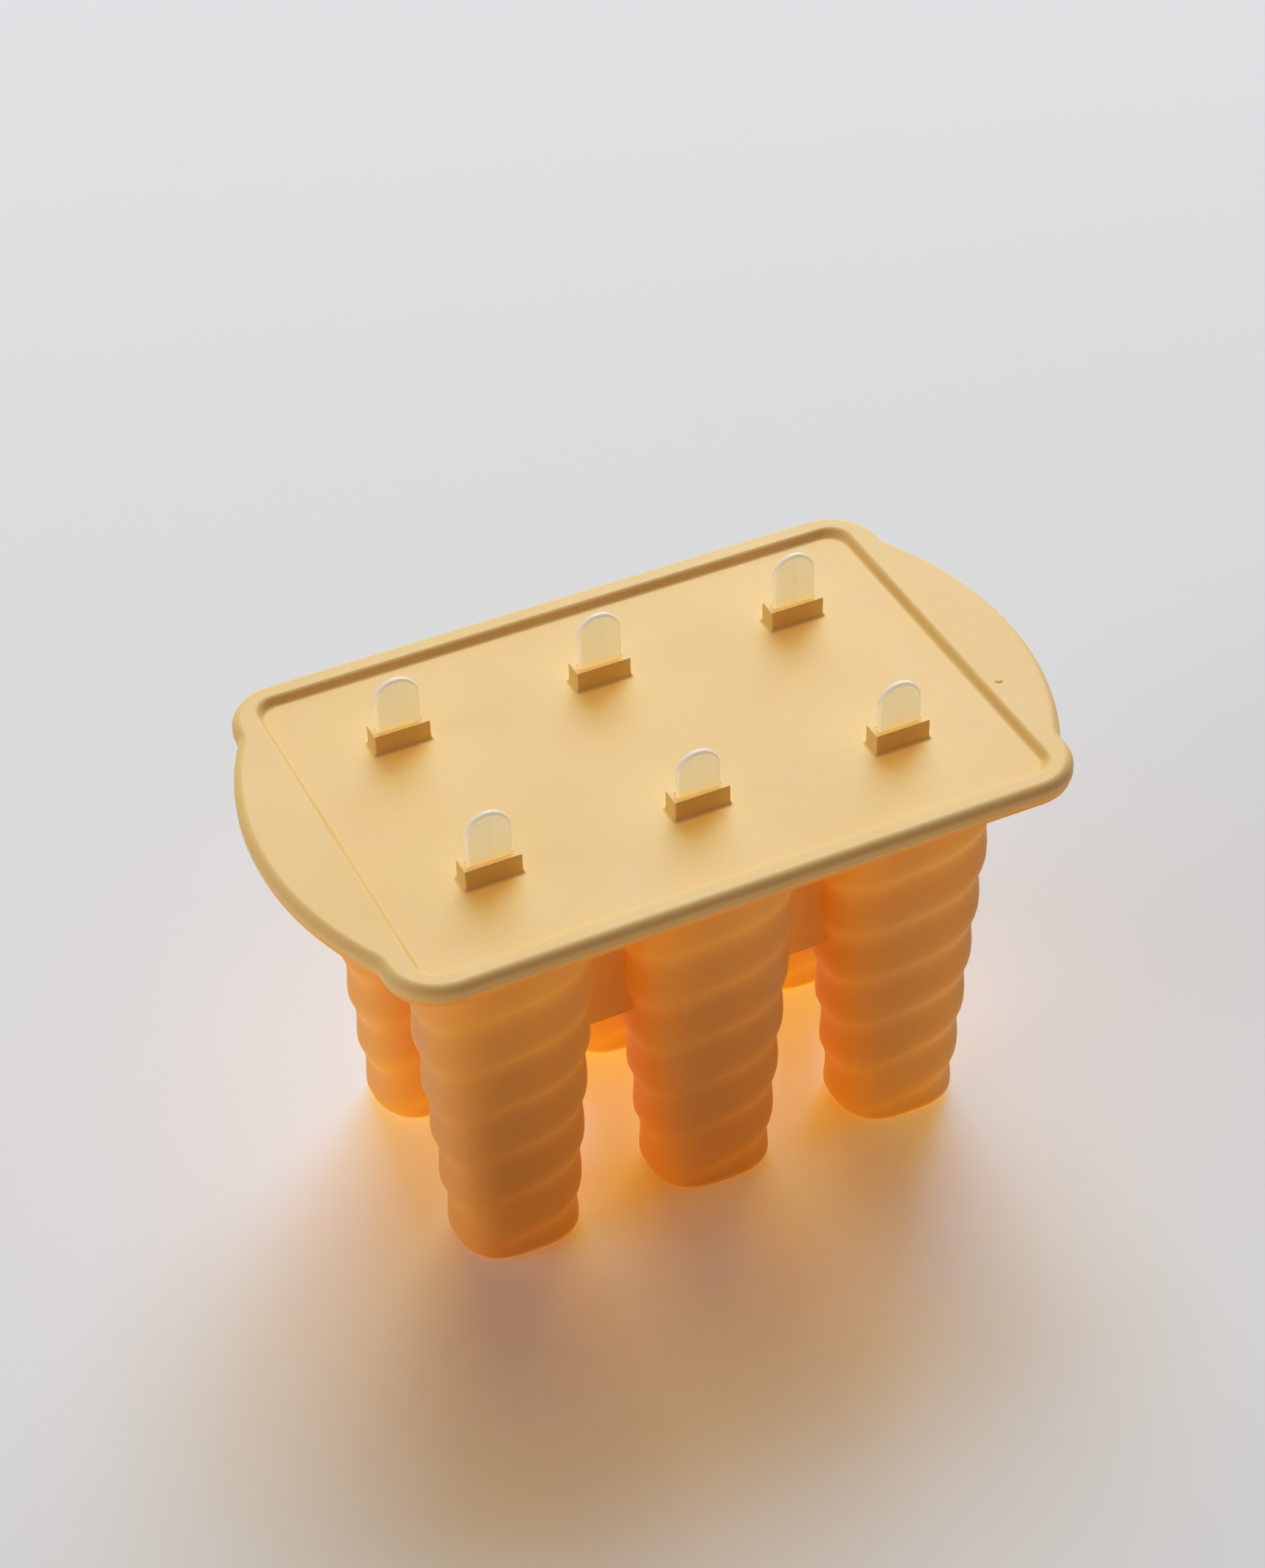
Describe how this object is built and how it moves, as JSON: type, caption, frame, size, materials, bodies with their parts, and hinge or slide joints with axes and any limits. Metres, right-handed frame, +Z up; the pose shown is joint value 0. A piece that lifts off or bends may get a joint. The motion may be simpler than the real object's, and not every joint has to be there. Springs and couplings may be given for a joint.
{
  "type": "ice pop mold",
  "caption": "Silicone ice pop mold with twisted tapered cups under one deck, a lid with end grips and upright stick sleeves, and flat round-ended sticks.",
  "frame": {"origin": "on the surface under the feet, at the middle of the grid of cups", "axes": "+X along the long side towards the grip with the small gate mark, +Y towards the back row, +Z up out of the cups"},
  "size_m": [0.18, 0.109, 0.1229],
  "materials": {
    "mould_silicone": "matt silicone, slightly translucent",
    "lid_silicone": "matt silicone, slightly translucent",
    "stick_plastic": "matt"
  },
  "bodies": {
    "mould": {"mould": "mould_silicone"},
    "lid": {"lid": "lid_silicone"},
    "stick_front_left": {"stick_front_left": "stick_plastic"},
    "stick_front_middle": {"stick_front_middle": "stick_plastic"},
    "stick_front_right": {"stick_front_right": "stick_plastic"},
    "stick_back_left": {"stick_back_left": "stick_plastic"},
    "stick_back_middle": {"stick_back_middle": "stick_plastic"},
    "stick_back_right": {"stick_back_right": "stick_plastic"}
  },
  "joints": [
    {"name": "lid_lift", "type": "slide", "parent": "mould", "child": "lid", "axis": [0, 0, 1], "range_m": [0, 0.085]},
    {"name": "stick_front_left_slide", "type": "slide", "parent": "lid", "child": "stick_front_left", "axis": [0, 0, 1], "range_m": [-0.01, 0.085]},
    {"name": "stick_front_middle_slide", "type": "slide", "parent": "lid", "child": "stick_front_middle", "axis": [0, 0, 1], "range_m": [-0.01, 0.085]},
    {"name": "stick_front_right_slide", "type": "slide", "parent": "lid", "child": "stick_front_right", "axis": [0, 0, 1], "range_m": [-0.01, 0.085]},
    {"name": "stick_back_left_slide", "type": "slide", "parent": "lid", "child": "stick_back_left", "axis": [0, 0, 1], "range_m": [-0.01, 0.085]},
    {"name": "stick_back_middle_slide", "type": "slide", "parent": "lid", "child": "stick_back_middle", "axis": [0, 0, 1], "range_m": [-0.01, 0.085]},
    {"name": "stick_back_right_slide", "type": "slide", "parent": "lid", "child": "stick_back_right", "axis": [0, 0, 1], "range_m": [-0.01, 0.085]}
  ]
}
